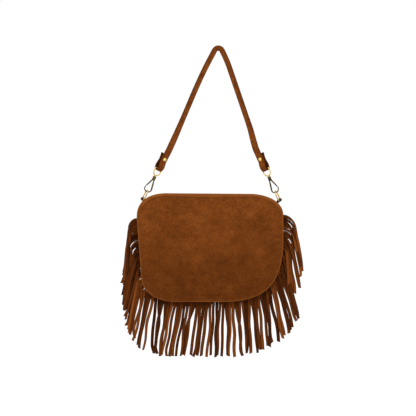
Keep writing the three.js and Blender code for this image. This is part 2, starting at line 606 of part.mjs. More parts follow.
function strap() {
  const { left, leftArm, bend, rightArm, right } = strapFrames();
  const frames = [...left.reverse(), ...leftArm, ...bend, ...rightArm, ...right];
  const half = STRAP.thickness / 2;
  const chamfer = 0.7;
  let across = frames[0].across.clone();
  const sections = frames.map((frame, i) => {
    const before = frames[Math.max(i - 1, 0)].place;
    const after = frames[Math.min(i + 1, frames.length - 1)].place;
    const along = after.clone().sub(before).normalize();
    const wide = frame.across.clone();
    if (wide.dot(across) < 0) wide.negate();
    across = wide.clone();
    const through = along.clone().cross(wide).normalize();
    const [w, h] = [frame.half, half];
    const ring = [[-w, -h + chamfer], [-w + chamfer, -h], [w - chamfer, -h], [w, -h + chamfer],
      [w, h - chamfer], [w - chamfer, h], [-w + chamfer, h], [-w, h - chamfer]];
    return ring.map(([a, b]) => frame.place.clone().addScaledVector(wide, a).addScaledVector(through, b));
  });
  const holes = chains.map((chain) => turned([[0, -8], [RIVET.post + GAP, -8], [RIVET.post + GAP, 8], [0, 8]],
    rivetCentre(chain), chain.faceNormal, 10));
  return cut(loft(sections), holes);
}

// ---------- rivets: a capped post through both layers and a base pressed over its end ----------
const RIVET = { post: 1.4, cap: 3.4, dome: 1.5, socket: 2.1 };
const rivetCentre = (chain) => chain.place(STRAP.rivetAt, 0);
const stackHalf = STRAP.pairOffset + STRAP.thickness / 2;

addPart('strap', strap(), COLOURS.suede, 0.95);
for (const chain of chains) {
  const face0 = stackHalf + GAP;
  const cap = [[0, -face0 - 0.5], [RIVET.post, -face0 - 0.5], [RIVET.post, face0], [RIVET.cap, face0],
    [RIVET.cap * 0.92, face0 + 0.7], [RIVET.cap * 0.6, face0 + 1.2], [0, face0 + RIVET.dome]];
  addPart(`rivet_cap_${chain.name}`, turned(cap, rivetCentre(chain), chain.faceNormal, 14), COLOURS.brass, 0.3, 1);
  const socket = [[0, face0 + 0.8], [RIVET.socket, face0 + 0.8], [RIVET.socket, face0], [RIVET.cap, face0],
    [RIVET.cap * 0.9, face0 + 1], [RIVET.cap * 0.6, face0 + 1.4], [0, face0 + RIVET.dome + 0.2]];
  addPart(`rivet_base_${chain.name}`, turned(socket, rivetCentre(chain), chain.faceNormal.clone().negate(), 14),
    COLOURS.brass, 0.3, 1);
}

export default group;
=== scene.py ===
import json
import math
import random
from bisect import bisect_left

import bmesh
import bpy
from mathutils import Matrix, Vector, noise
from mathutils.bvhtree import BVHTree
from mathutils.geometry import interpolate_bezier

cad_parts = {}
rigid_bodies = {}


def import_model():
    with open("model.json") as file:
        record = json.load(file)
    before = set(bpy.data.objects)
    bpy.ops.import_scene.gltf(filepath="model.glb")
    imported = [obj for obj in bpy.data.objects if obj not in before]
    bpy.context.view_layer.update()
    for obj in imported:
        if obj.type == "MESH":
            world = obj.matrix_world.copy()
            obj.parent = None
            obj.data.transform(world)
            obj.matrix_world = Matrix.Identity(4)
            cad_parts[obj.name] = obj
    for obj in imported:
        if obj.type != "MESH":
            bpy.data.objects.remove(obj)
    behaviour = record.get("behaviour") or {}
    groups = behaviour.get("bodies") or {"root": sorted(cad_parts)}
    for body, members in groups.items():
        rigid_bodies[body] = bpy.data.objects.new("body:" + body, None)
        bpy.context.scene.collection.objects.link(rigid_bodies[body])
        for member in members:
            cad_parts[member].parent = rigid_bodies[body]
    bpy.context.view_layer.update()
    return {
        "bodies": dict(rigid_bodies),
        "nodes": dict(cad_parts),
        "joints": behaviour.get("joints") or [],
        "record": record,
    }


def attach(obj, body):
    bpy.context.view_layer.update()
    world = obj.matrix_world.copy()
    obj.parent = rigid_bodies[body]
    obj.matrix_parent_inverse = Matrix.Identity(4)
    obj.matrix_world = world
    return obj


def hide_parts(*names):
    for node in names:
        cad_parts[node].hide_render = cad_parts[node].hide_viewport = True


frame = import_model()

# Fringed suede shoulder bag. Shapes are worked out in millimetres and become metres in newPiece.
depthWay = Vector((0, 1, 0))
print("frame loaded:", len(frame["nodes"]), "solids")


# small sums
def lerp(a, b, t):
    return a + (b - a) * t


def ease(t, low=0.0, high=1.0):
    t = min(max((t - low) / (high - low), 0.0), 1.0)
    return t * t * (3 - 2 * t)


def evenly(points, count):
    # the same line with its points the same distance apart
    lengths = [0.0]
    for a, b in zip(points, points[1:]):
        lengths.append(lengths[-1] + (b - a).length)
    result, k = [], 0
    for i in range(count):
        want = lengths[-1] * i / (count - 1)
        while k < len(points) - 2 and lengths[k + 1] < want:
            k += 1
        span = lengths[k + 1] - lengths[k]
        result.append(points[k].lerp(points[k + 1], (want - lengths[k]) / span if span else 0))
    return result


def smoothPath(points, count, closed=False):
    # a smooth line through the given points
    given = [Vector(p) for p in points]
    n = len(given)
    fine = []
    for k in range(n if closed else n - 1):
        ends = [(k + j) % n if closed else min(max(k + j, 0), n - 1) for j in (-1, 0, 1, 2)]
        before, start, end, after = [given[j] for j in ends]
        reach = (end - start).length / 3
        leave = start + (end - before).normalized() * reach
        arrive = end - (after - start).normalized() * reach
        fine += interpolate_bezier(start, leave, arrive, end, 14)[:-1]
    fine.append(given[0] if closed else given[-1])
    return evenly(fine, count + 1)[: count if closed else count + 1]


def axesAt(x, y, z, place):
    matrix = Matrix((x, y, z)).transposed().to_4x4()
    matrix.translation = place
    return matrix


def framesAlong(points, normal, closed=False):
    # a frame at each point: z runs along the line, y is the normal of the line's plane
    frames, n = [], len(points)
    for i, point in enumerate(points):
        before = points[(i - 1) % n] if closed else points[max(i - 1, 0)]
        after = points[(i + 1) % n] if closed else points[min(i + 1, n - 1)]
        along = (after - before).normalized()
        side = normal.cross(along).normalized()
        frames.append(axesAt(side, along.cross(side), along, point))
    return frames


# shapes: each returns its own bmesh
def roundLoop(bm, sides):
    made = bmesh.ops.create_circle(bm, cap_ends=False, radius=1, segments=sides)["verts"]
    return list({edge for vert in made for edge in vert.link_edges})


def roundOff(bm, geom, offset, segments=3, affect="EDGES"):
    bmesh.ops.bevel(bm, geom=geom, offset=offset, offset_type="OFFSET", segments=segments, profile=0.5,
                    affect=affect, material=-1)


def grid(bm, columns, rows, size=1):
    return bmesh.ops.create_grid(bm, x_segments=columns, y_segments=rows, size=size)["verts"]


def cube(bm, centre, size, place=Matrix()):
    bmesh.ops.create_cube(bm, size=1, matrix=place @ Matrix.Translation(centre) @ Matrix.Diagonal((*size, 1)))


def floatLayers(bm, *names):
    return [bm.verts.layers.float.new(name) for name in names]


def around(radius, degrees, centre=(0, 0)):
    # places on a circle
    turns = [math.radians(d) for d in degrees]
    return [(centre[0] + radius * math.cos(t), centre[1] + radius * math.sin(t)) for t in turns]


def flatLoop(bm, width, height, corner):
    # a rounded oblong; under tells its low y side and cut its two narrow edges
    under, cut = floatLayers(bm, "under", "cut")
    made = grid(bm, 1, 1, 0.5)
    bmesh.ops.scale(bm, vec=(width, height, 1), verts=made)
    roundOff(bm, made, corner, affect="VERTICES")
    bmesh.ops.delete(bm, geom=bm.faces[:], context="FACES_ONLY")
    bmesh.ops.subdivide_edges(bm, edges=[e for e in bm.edges if e.calc_length() > corner * 3], cuts=4)
    for vert in bm.verts:
        vert[under] = 1.0 if vert.co.y < 0 else 0.0
        vert[cut] = ease(abs(vert.co.x), width / 2 - corner * 1.6, width / 2)
    return bm.edges[:]


def sweep(bm, loop, frames, closed=False):
    # carries a loop of edges through the frames
    edges = loop
    verts = list({vert for edge in edges for vert in edge.verts})
    bmesh.ops.transform(bm, matrix=frames[0], verts=verts)
    now = frames[0]
    for frame in frames[1:] + (frames[:1] if closed else []):
        grown = bmesh.ops.extrude_edge_only(bm, edges=edges)["geom"]
        verts = [g for g in grown if isinstance(g, bmesh.types.BMVert)]
        edges = [g for g in grown if isinstance(g, bmesh.types.BMEdge) and g.is_boundary]
        bmesh.ops.transform(bm, matrix=frame @ now.inverted(), verts=verts)
        now = frame
    if closed:
        bmesh.ops.remove_doubles(bm, verts=bm.verts, dist=0.002)
    else:
        bmesh.ops.holes_fill(bm, edges=[e for e in bm.edges if e.is_boundary], sides=0)
    bmesh.ops.recalc_face_normals(bm, faces=bm.faces)
    return bm


def tube(points, normal, radius, sides=14, closed=False):
    # a round wire with domed ends; radius may be a function of the share of its length
    size = radius if callable(radius) else lambda share: radius
    frames = []
    path = framesAlong(points, normal, closed)
    for i, frame in enumerate(path):
        r = size(i / (len(path) - 1))
        frames.append(frame @ Matrix.Diagonal((r, r, 1, 1)))
    if not closed:
        for end, way in ((0, -1), (-1, 1)):
            base, r = path[end], size(0 if end == 0 else 1)
            for degrees in (30, 60, 84):
                out = Matrix.Translation((0, 0, way * r * math.sin(math.radians(degrees))))
                shrink = r * math.cos(math.radians(degrees))
                dome = base @ out @ Matrix.Diagonal((shrink, shrink, 1, 1))
                frames.insert(0 if end == 0 else len(frames), dome)
    bm = bmesh.new()
    return sweep(bm, roundLoop(bm, sides), frames, closed)


def turned(profile, steps=28, place=None):
    # spins a profile of (radius, height) round z
    bm = bmesh.new()
    verts = [bm.verts.new((radius, 0, height)) for radius, height in profile]
    edges = [bm.edges.new(pair) for pair in zip(verts, verts[1:])]
    bmesh.ops.spin(bm, geom=verts + edges, cent=(0, 0, 0), axis=(0, 0, 1), dvec=(0, 0, 0),
                   angle=math.tau, steps=steps, use_merge=True, use_duplicate=False)
    bmesh.ops.remove_doubles(bm, verts=bm.verts, dist=0.002)
    bmesh.ops.recalc_face_normals(bm, faces=bm.faces)
    if place:
        bm.transform(place)
    return bm


def block(low, high, rounding, place=None, taper=1.0):
    # a box with rounded edges; taper narrows its low x end in y
    bm = bmesh.new()
    low, high = Vector(low), Vector(high)
    middle, size = (low + high) / 2, high - low
    cube(bm, middle, size)
    for vert in bm.verts:
        if vert.co.x < middle.x:
            vert.co.y = middle.y + (vert.co.y - middle.y) * taper
    roundOff(bm, bm.edges[:], rounding)
    if place:
        bm.transform(place)
    return bm


def aim(direction, place):
    # a frame whose z is the direction
    z = Vector(direction).normalized()
    x = z.orthogonal().normalized()
    return axesAt(x, z.cross(x), z, place)


def linked(name, data):
    made = bpy.data.objects.new(name, data)
    bpy.context.scene.collection.objects.link(made)
    return made


def newPiece(name, body, nodes, slotName, shapes, crease=40, material=None):
    mesh = bpy.data.meshes.new(name)
    whole = bmesh.new()
    for shape in shapes:
        shape.to_mesh(mesh)
        whole.from_mesh(mesh)
        shape.free()
    bmesh.ops.scale(whole, vec=(0.001, 0.001, 0.001), verts=whole.verts)
    whole.to_mesh(mesh)
    whole.free()
    mesh.polygons.foreach_set("use_smooth", [True] * len(mesh.polygons))
    mesh.set_sharp_from_angle(angle=math.radians(crease))
    mesh.materials.append(material or looks[slotName])
    piece = linked(name, mesh)
    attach(piece, body)
    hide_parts(*nodes)
    return piece


def thicken(piece, thickness, rounding, offset=-1.0):
    # gives a sheet its leather's thickness and rounds its cut edges
    wall = piece.modifiers.new("thickness", "SOLIDIFY")
    wall.thickness, wall.offset = thickness * 0.001, offset
    edge = piece.modifiers.new("edge", "BEVEL")
    edge.width, edge.segments, edge.limit_method = rounding * 0.001, 2, "ANGLE"
    edge.angle_limit = math.radians(50)
    return piece


def faceAway(bm, centre):
    # turns a sheet's faces away from a point
    total = sum(f.normal.dot(f.calc_center_median() - Vector(centre)) * f.calc_area() for f in bm.faces)
    if total < 0:
        bmesh.ops.reverse_faces(bm, faces=bm.faces)


# materials
class Wire:
    # a node's output that can stand in a sum
    def __init__(self, paint, socket):
        self.paint, self.socket = paint, socket

    def maths(self, operation, first, second=0.0):
        return self.paint.node("Math", {"operation": operation}, {0: first, 1: second})

    def __add__(self, other):
        return self.maths("ADD", self, other)

    def __sub__(self, other):
        return self.maths("SUBTRACT", self, other)

    def __rsub__(self, other):
        return self.maths("SUBTRACT", other, self)

    def __mul__(self, other):
        return self.maths("MULTIPLY", self, other)

    def __abs__(self):
        return self.maths("ABSOLUTE", self)

    __radd__ = __add__
    __rmul__ = __mul__


class Paint:
    # one material; fixed values go straight on the shader
    def __init__(self, name, **fixed):
        self.material = bpy.data.materials.new(name)
        self.material.use_nodes = True
        self.tree = self.material.node_tree
        self.shader = self.tree.nodes["Principled BSDF"]
        for label, value in fixed.items():
            self.shader.inputs[label.replace("_", " ")].default_value = value

    def node(self, kind, settings, inputs, output=0):
        made = self.tree.nodes.new("ShaderNode" + kind)
        for key, value in settings.items():
            if key == "stops":
                while len(made.color_ramp.elements) < len(value):
                    made.color_ramp.elements.new(0.5)
                for stop, (position, colour) in zip(made.color_ramp.elements, value):
                    stop.position, stop.color = position, colour
            else:
                setattr(made, key, value)
        for key, value in inputs.items():
            if isinstance(value, Wire):
                self.tree.links.new(value.socket, made.inputs[key])
            else:
                made.inputs[key].default_value = value
        return Wire(self, made.outputs[output])

    def feed(self, **wires):
        for label, wire in wires.items():
            self.tree.links.new(wire.socket, self.shader.inputs[label.replace("_", " ")])
        return self.material

    def place(self, scale=(1, 1, 1)):
        spot = self.node("TexCoord", {}, {}, "Object")
        return self.node("Mapping", {}, {"Vector": spot, "Scale": scale})

    def grain(self, scale, detail=3.0, rough=0.55, stretch=(1, 1, 1)):
        return self.node("TexNoise", {}, {"Vector": self.place(stretch), "Scale": scale, "Detail": detail,
                                          "Roughness": rough})

    def mix(self, factor, first, second, way="MIX"):
        return self.node("Mix", {"data_type": "RGBA", "blend_type": way, "clamp_factor": True},
                         {0: factor, 6: first, 7: second}, 2)

    def told(self, name):
        return self.node("Attribute", {"attribute_name": name}, {}, "Fac")

    def span(self, value, low, high, to=(0.0, 1.0)):
        return self.node("MapRange", {"interpolation_type": "SMOOTHSTEP"},
                         {0: value, 1: low, 2: high, 3: to[0], 4: to[1]})

    def bump(self, height, strength, distance):
        return self.node("Bump", {}, {"Height": height, "Strength": strength, "Distance": distance})


def tone(red, green, blue):
    # a screen colour as linear light
    return tuple(((c / 255 + 0.055) / 1.055) ** 2.4 for c in (red, green, blue)) + (1.0,)


suedeLook = {
    "face": {"dark": tone(85, 42, 11), "mid": tone(107, 55, 17), "light": tone(127, 69, 25)},
    "wall": {"dark": tone(76, 36, 9), "mid": tone(98, 49, 15), "light": tone(120, 65, 24)},
    "strap": {"dark": tone(82, 38, 11), "mid": tone(113, 58, 18), "light": tone(144, 82, 31)},
    "fringe": {"dark": tone(58, 26, 7), "mid": tone(98, 49, 15), "light": tone(134, 72, 27)},
    "worn": tone(152, 88, 38), "nap": 0.00035,
    "fixed": {"Sheen_Weight": 0.04, "Sheen_Roughness": 0.5, "Sheen_Tint": tone(196, 128, 70)},
}


def suede(name, colours, paintedShadeBelow=0.0, seamLine=0.0, band=False):
    # brushed suede: soft clouds, brushed marks and a fine nap
    paint = Paint(name, Specular_IOR_Level=0.04, **suedeLook["fixed"])
    clouds = paint.grain(24, 3.0, 0.55, (0.75, 1.0, 1.0))
    smudges = paint.grain(95, 4.0, 0.6, (0.8, 1.0, 1.0))
    flecks = paint.grain(330, 3.0, 0.65)
    nap = paint.grain(1300, 2.0, 0.7)
    shade = clouds * 0.20 + smudges * 0.30 + flecks * 0.36 + nap * 0.14
    colour = paint.node("ValToRGB", {"stops": [(0.38, colours["dark"]), (0.50, colours["mid"]),
                                               (0.63, colours["light"])]}, {0: shade})
    height = nap * 0.6 + flecks * 0.9 + smudges * 0.4
    if paintedShadeBelow:
        # painted shade: the colour darkens towards the bottom, where less light falls from above
        level = paint.node("SeparateXYZ", {}, {0: paint.place()}, "Z")
        low = paint.span(level, -0.475, -0.285, (1.0, 0.0))
        colour = paint.mix(low * paintedShadeBelow, colour, (0.55, 0.50, 0.42, 1), "MULTIPLY")
    if seamLine:
        # the attribute rim is the distance from the sewn edge in millimetres; a painted highlight lightens the
        # rolled rim
        rim = paint.told("rim")
        worn = paint.span(rim, 0.4, 3.4, (1.0, 0.0)) * 0.42
        colour = paint.mix(worn, colour, suedeLook["worn"])
        # painted shade in the seam groove and a painted highlight on the fold beside it, on the faces
        # strongest along the top edge
        strength = paint.told("seam")
        groove = paint.span(abs(rim - seamLine), 0.2, 1.5, (1.0, 0.0)) * strength
        fold = paint.span(rim, seamLine - 2.2, seamLine - 0.6, (1.0, 0.0)) * strength
        colour = paint.mix(groove * 0.75, colour, colours["dark"])
        colour = paint.mix(fold * 0.45, colour, suedeLook["worn"])
        height = height - groove * 2.4 + fold * 0.9
    if band:
        # the strap's under side, darker as the rough flesh side and with painted shade inside its folds, and
        # its darker cut edges
        colour = paint.mix(paint.told("under") * 0.85, colour, (0.26, 0.20, 0.14, 1), "MULTIPLY")
        colour = paint.mix(paint.told("cut") * 0.55, colour, colours["dark"])
    rough = paint.span(shade, 0.3, 0.7, (1.0, 0.88))
    return paint.feed(Base_Color=colour, Roughness=rough, Normal=paint.bump(height, 0.55, suedeLook["nap"]))


def fringeSuede(name, colours):
    # the same leather cut into strips: each strip its own tone, with painted shade where it comes out of the
    # seam and on the strips hanging behind
    paint = Paint(name, Specular_IOR_Level=0.05, **suedeLook["fixed"])
    nap = paint.grain(1100, 2.0, 0.7)
    fibres = paint.grain(300, 3.0, 0.7, (1.0, 1.0, 0.3))
    shade = paint.told("tint") * 0.50 + nap * 0.15 + fibres * 0.35
    colour = paint.node("ValToRGB", {"stops": [(0.24, colours["dark"]), (0.50, colours["mid"]),
                                               (0.76, colours["light"])]}, {0: shade})
    # darker strip edges: the cut edges' own tone and painted shade in the lines between strips
    cutEdge = paint.span(paint.told("cut"), 0.55, 1.0)
    colour = paint.mix(cutEdge * 0.75, colour, colours["dark"])
    # painted shade from the attribute deep
    colour = paint.mix(paint.told("deep") * 0.8, colour, (0.30, 0.25, 0.20, 1), "MULTIPLY")
    height = nap * 0.6 + fibres
    return paint.feed(Base_Color=colour, Roughness=paint.span(nap, 0.3, 0.7, (1.0, 0.88)),
                      Normal=paint.bump(height, 0.5, suedeLook["nap"]))


def smoothLeather(name, base, worn):
    paint = Paint(name, Specular_IOR_Level=0.07)
    spots = {"Vector": paint.place(), "Scale": 900.0}
    pores = paint.node("TexVoronoi", {"feature": "F1"}, spots, "Distance")
    soft = paint.grain(120, 4.0)
    colour = paint.mix(paint.span(soft, 0.45, 0.7), base, worn)
    return paint.feed(Base_Color=colour, Roughness=paint.span(soft, 0.3, 0.7, (0.62, 0.45)),
                      Normal=paint.bump(pores * 1.0 + soft * 0.4, 0.45, 0.0002))


def metal(name, bright, dull, polish, tarnish):
    # cast and plated metal: darker patches, fine scratches
    paint = Paint(name, Metallic=1.0)
    patches = paint.grain(240, 4.0, 0.6)
    scratches = paint.grain(900, 2.0, 0.6, (1.0, 0.25, 1.0))
    colour = paint.mix(paint.span(patches, 0.42, 0.68) * tarnish, bright, dull)
    rough = paint.span(patches * 0.6 + scratches * 0.4, 0.3, 0.7, polish)
    return paint.feed(Base_Color=colour, Roughness=rough, Normal=paint.bump(scratches, 0.25, 0.00006))


def wovenCloth(name, base, light, threads):
    paint = Paint(name, Specular_IOR_Level=0.2)
    spread = {"Vector": paint.place(), "Scale": threads, "Distortion": 0.6, "Detail": 2.0}
    warp, weft = [paint.node("TexWave", {"bands_direction": way}, spread) for way in "XY"]
    weave = warp * 0.5 + weft * 0.5
    fuzz = paint.grain(700, 2.0)
    colour = paint.mix(weave * 0.7 + fuzz * 0.3, base, light)
    return paint.feed(Base_Color=colour, Roughness=paint.span(fuzz, 0.3, 0.7, (0.95, 0.8)),
                      Normal=paint.bump(weave + fuzz * 0.4, 0.6, 0.00025))


looks = {
    "suede": suede("brushedSuede", suedeLook["face"], paintedShadeBelow=0.72, seamLine=8.0),
    "suede_gusset": suede("gussetSuede", suedeLook["wall"], paintedShadeBelow=0.4, seamLine=3.2),
    "suede_strap": suede("strapSuede", suedeLook["strap"], band=True),
    "suede_fringe": fringeSuede("fringeSuede", suedeLook["fringe"]),
    "dark_leather": smoothLeather("darkTabLeather", tone(46, 22, 9), tone(76, 40, 17)),
    "polished_brass": metal("goldPlate", tone(238, 205, 120), tone(176, 134, 62), (0.16, 0.34), 0.55),
    "aged_brass": metal("agedBrass", tone(98, 80, 40), tone(36, 27, 14), (0.32, 0.55), 0.95),
    "zip_brass": metal("zipBrass", tone(214, 180, 104), tone(140, 108, 56), (0.24, 0.42), 0.6),
    "spring_steel": metal("springSteel", tone(180, 178, 170), tone(110, 106, 98), (0.25, 0.4), 0.4),
    "zip_tape": wovenCloth("zipTape", tone(58, 34, 19), tone(92, 56, 32), 420.0),
    "lining_cloth": wovenCloth("liningCotton", tone(56, 40, 28), tone(86, 64, 46), 260.0),
}
sewingThread = smoothLeather("sewingThread", tone(112, 60, 18), tone(158, 96, 40))
print("materials made:", len(bpy.data.materials))

# body: two faces sewn to a gusset
bodyShape = {
    "corners": [  # start, two handles and end of each rounded corner, across and up
        ((-95, -262.8), (-125, -263), (-148.7, -275), (-148.7, -306)),
        ((-140, -418), (-137, -442), (-115, -459), (-75, -459)),
        ((5, -459), (80, -459), (115.9, -432), (115.9, -345)),
        ((115.9, -303), (115.9, -280), (92, -266), (60, -264)),
    ],
    "centre": (-16, -362), "halfWide": 132, "halfHigh": 98, "steps": 2400,
    "seam": 22, "gap": 0.3, "topDip": 7,
}


def makeOutline():
    points = [Vector((60, 0, -264))]
    for corner in bodyShape["corners"]:
        points += interpolate_bezier(*[Vector((x, 0, z)) for x, z in corner], 60)
    return evenly(points, bodyShape["steps"] + 1)


outline = makeOutline()
perimeter = sum((b - a).length for a, b in zip(outline, outline[1:]))
middle = Vector((bodyShape["centre"][0], 0, bodyShape["centre"][1]))


def outlineAt(u):
    # a place on the outline and the direction straight out of it
    step = (u % 1) * bodyShape["steps"]
    k = int(step) % bodyShape["steps"]
    tangent = (outline[k + 1] - outline[k]).normalized()
    return outline[k].lerp(outline[k + 1], step - int(step)), Vector((tangent.z, 0, -tangent.x))


def nearestU(x, z):
    steps = bodyShape["steps"]
    return min(range(steps), key=lambda k: (outline[k] - Vector((x, 0, z))).length) / steps


turns = sorted((math.atan2(p.z - middle.z, p.x - middle.x), k / bodyShape["steps"])
               for k, p in enumerate(outline[:-1]))
turnAngles = [turn[0] for turn in turns]


def outlineTowards(angle):
    # the outline's u in this direction from the middle
    k = bisect_left(turnAngles, angle) % len(turns)
    (a0, u0), (a1, u1) = turns[k - 1], turns[k]
    if a1 <= a0 or abs(u1 - u0) > 0.5 or not a0 <= angle <= a1:
        return u1
    return lerp(u0, u1, (angle - a0) / (a1 - a0))


def fitToOutline(vert, inset=0.0):
    # moves a vertex of a square sheet into the outline's shape; returns its share of the way out and u
    s, t = vert.co.x, vert.co.y
    share = max(abs(s), abs(t))
    if share < 1e-6:
        vert.co = middle
        return 0.0, 0.0
    u = outlineTowards(math.atan2(t / share * bodyShape["halfHigh"], s / share * bodyShape["halfWide"]))
    edge, out = outlineAt(u)
    vert.co = middle.lerp(edge - out * inset, share)
    return share, u


faceShape = {
    "columns": 104, "rows": 76, "thickness": 2.0, "bulge": 7.4, "held": (0.80, 0.965),
    "dents": 0.9,
}
clothSetup = {
    "frames": 22, "mostMove": 4.0, "quality": 5, "mass": 0.35, "stretch": 22, "shear": 10, "bending": 6,
    "pressure": 0.8,
}


def faceSheet(side, phase):
    bm = bmesh.new()
    grid(bm, faceShape["columns"], faceShape["rows"])
    rim, seam, hold = floatLayers(bm, "rim", "seam", "hold")
    for vert in bm.verts:
        share, u = fitToOutline(vert)
        edge, out = outlineAt(u)
        distance = (edge - middle).length * (1 - share)
        bulge = faceShape["bulge"] * (1 - share ** 2.6)
        dent = noise.noise(vert.co * 0.016 + Vector((phase, 0, 0))) + 0.4 * noise.noise(vert.co * 0.045)
        roll = 1.1 * (1 - ease(distance, 0, 3.0))
        fold = -0.6 * math.exp(-(((distance - 8.0) / 1.6) ** 2)) * ease(out.z, 0.3, 0.9)
        depth = bodyShape["seam"] + faceShape["thickness"] + bulge - roll + fold
        depth += faceShape["dents"] * dent * (1 - share ** 3)
        vert.co.y = side * depth
        vert[rim] = distance
        vert[seam] = ease(out.z, 0.15, 0.9) * (0.75 + 0.25 * noise.noise(vert.co * 0.03))
        vert[hold] = ease(share, *faceShape["held"])
    bm.normal_update()
    faceAway(bm, middle)
    return bm


def settle(piece):
    # lets a face hang and fill out a little, held by its sewn rim
    mesh, scene = piece.data, bpy.context.scene
    held = [weight.value for weight in mesh.attributes["hold"].data]
    rest = [v.co.copy() for v in mesh.vertices]
    group = piece.vertex_groups.new(name="held")
    for index, weight in enumerate(held):
        group.add([index], weight, "REPLACE")
    cloth = piece.modifiers.new("settle", "CLOTH")
    settings, c = cloth.settings, clothSetup
    settings.quality, settings.mass = c["quality"], c["mass"]
    settings.tension_stiffness = settings.compression_stiffness = c["stretch"]
    settings.shear_stiffness, settings.bending_stiffness = c["shear"], c["bending"]
    settings.vertex_group_mass = "held"
    settings.use_pressure, settings.uniform_pressure_force = True, c["pressure"]
    cloth.collision_settings.use_collision = False
    cloth.point_cache.frame_end = c["frames"]
    for step in range(1, c["frames"] + 1):
        scene.frame_set(step)
    shaped = piece.evaluated_get(bpy.context.evaluated_depsgraph_get()).to_mesh()
    moves = [after.co - before for after, before in zip(shaped.vertices, rest)]
    piece.modifiers.remove(cloth)
    piece.vertex_groups.clear()
    most = c["mostMove"] * 0.001
    for vert, before, move in zip(mesh.vertices, rest, moves):
        if move.length > most:
            move = move * (most / move.length)
        vert.co = before + move
    scene.frame_set(1)
    print(piece.name, "settled, largest move", round(max(m.length for m in moves) * 1000, 1), "mm")


stitchShape = {"inset": 4.4, "pitch": 3.4, "length": 2.5, "width": 0.55, "deep": 0.6, "rise": 0.16}


def stitchRow(piece, side):
    # a row of thread stitches laid on the face beside its sewn edge
    tree = BVHTree.FromPolygons([v.co * 1000 for v in piece.data.vertices],
                                [tuple(p.vertices) for p in piece.data.polygons])
    bm = bmesh.new()
    count = round(perimeter / stitchShape["pitch"])
    for k in range(count):
        edge, out = outlineAt(k / count)
        start = edge - out * stitchShape["inset"] + Vector((0, side * 60, 0))
        spot, normal = tree.ray_cast(start, Vector((0, -side, 0)))[:2]
        if spot is None:
            continue
        normal = normal if normal.y * side > 0 else -normal
        along = out.cross(normal).normalized()
        size = [stitchShape[key] / 2 for key in ("width", "length", "deep")] + [1]
        place = axesAt(along.cross(normal), along, normal, spot + normal * stitchShape["rise"])
        bmesh.ops.create_icosphere(bm, subdivisions=1, radius=1, matrix=place @ Matrix.Diagonal(size))
    return bm


for side, name in ((-1, "near"), (1, "far")):
    sheet = faceSheet(side, side * 7.0)
    panel = newPiece(name + "_face", "bag", [name + "_panel"], "suede", [sheet])
    settle(panel)
    stitches = newPiece(name + "_stitches", "bag", [], "suede", [stitchRow(panel, side)],
                        material=sewingThread)
    thicken(panel, faceShape["thickness"], 0.8)
print("faces made")


def wallPoint(u, y, inset):
    edge, out = outlineAt(u)
    dip = bodyShape["topDip"] * ease(out.z, 0.3, 0.95) * (1 - (y / bodyShape["seam"]) ** 2)
    return edge - out * (inset + dip) + Vector((0, y, 0))


def wallSheet(u0, u1, y0, y1, inset, columns, rows, wave=0.0):
    # a strip that follows the outline between two depths
    bm = bmesh.new()
    grid(bm, columns, rows)
    rim, seam = floatLayers(bm, "rim", "seam")
    for vert in bm.verts:
        u, y = lerp(u0, u1, (vert.co.x + 1) / 2), lerp(y0, y1, (vert.co.y + 1) / 2)
        point, out = wallPoint(u, y, inset), outlineAt(u)[1]
        inner = 1 - (2 * (y - y0) / (y1 - y0) - 1) ** 4
        vert.co = point - out * wave * inner * (0.6 + noise.noise(point * 0.03))
        vert[rim] = min(abs(y - y0), abs(y1 - y))
        vert[seam] = 0.8
    bm.normal_update()
    faceAway(bm, middle)
    return bm


seams = {
    "near": -21.7, "far": 20.2, "inset": 1.0, "thickness": 1.8,
    "tabLeft": nearestU(-139, -274.6), "tabRight": nearestU(110.6, -276),
    "zipLeft": nearestU(-98, -262.8), "zipRight": nearestU(64, -264),
}
endGap = bodyShape["gap"] / perimeter
whole, alongZip = (seams["near"], seams["far"]), (seams["zipRight"] - 1, seams["zipLeft"])
left, right = seams["tabLeft"], seams["tabRight"]
walls = [  # name, span of the outline, depths, columns and rows, how far it sinks in, flat size
    ("gusset", (left + endGap, right - endGap), whole, (260, 16), 0.9, (0.608, 0.0419)),
    ("zip_end_left", (seams["zipLeft"] + endGap, left), whole, (30, 16), 0.0, (0.0423, 0.0419)),
    ("zip_end_right", (right, seams["zipRight"] - endGap), whole, (30, 16), 0.0, (0.0502, 0.0419)),
    ("zip_strip_near", alongZip, (seams["near"], -6), (70, 8), 0.0, (0.162, 0.0166)),
    ("zip_strip_far", alongZip, (6, seams["far"]), (70, 8), 0.0, (0.162, 0.0150)),
]
for name, span, depths, counts, sink, flat in walls:
    sheet = wallSheet(*span, *depths, seams["inset"], *counts, sink)
    strip = newPiece(name + "_suede", "bag", [name], "suede_gusset", [sheet])
    thicken(strip, seams["thickness"], 0.5)
tapes = [wallSheet(*alongZip, *depths, 3.1, 70, 4) for depths in ((-10.5, -0.9), (0.9, 10.5))]
tape = newPiece("zip_tape_cloth", "bag", ["zip_tape_near", "zip_tape_far"], "zip_tape", tapes)
thicken(tape, 0.6, 0.15)
print("gusset and zip facings made")

liningShape = {"inset": 5.0, "wall": 0.8, "half": 19.0, "top": -292.0}


def liningSheets():
    # an open pouch: two hanging faces and the band that joins them
    sheets = []
    for side in (-1, 1):
        bm = bmesh.new()
        grid(bm, 60, 44)
        for vert in bm.verts:
            share = fitToOutline(vert, liningShape["inset"])[0]
            crease = noise.noise(vert.co * 0.035 + Vector((0, side * 5, 0))) * (1 - share ** 4)
            vert.co.z = min(vert.co.z, liningShape["top"])
            vert.co.y = side * (liningShape["half"] - 0.4 + 0.8 * crease)
        bmesh.ops.remove_doubles(bm, verts=bm.verts, dist=0.02)
        faceAway(bm, middle)
        sheets.append(bm)
    left, right = nearestU(-143.5, -292), nearestU(111, -292)
    half = liningShape["half"] - 0.4
    sheets.append(wallSheet(left, right, -half, half, liningShape["inset"], 150, 8, 0.5))
    return sheets


lining = newPiece("lining_pouch", "bag", ["lining"], "lining_cloth", liningSheets())
thicken(lining, liningShape["wall"], 0.1)

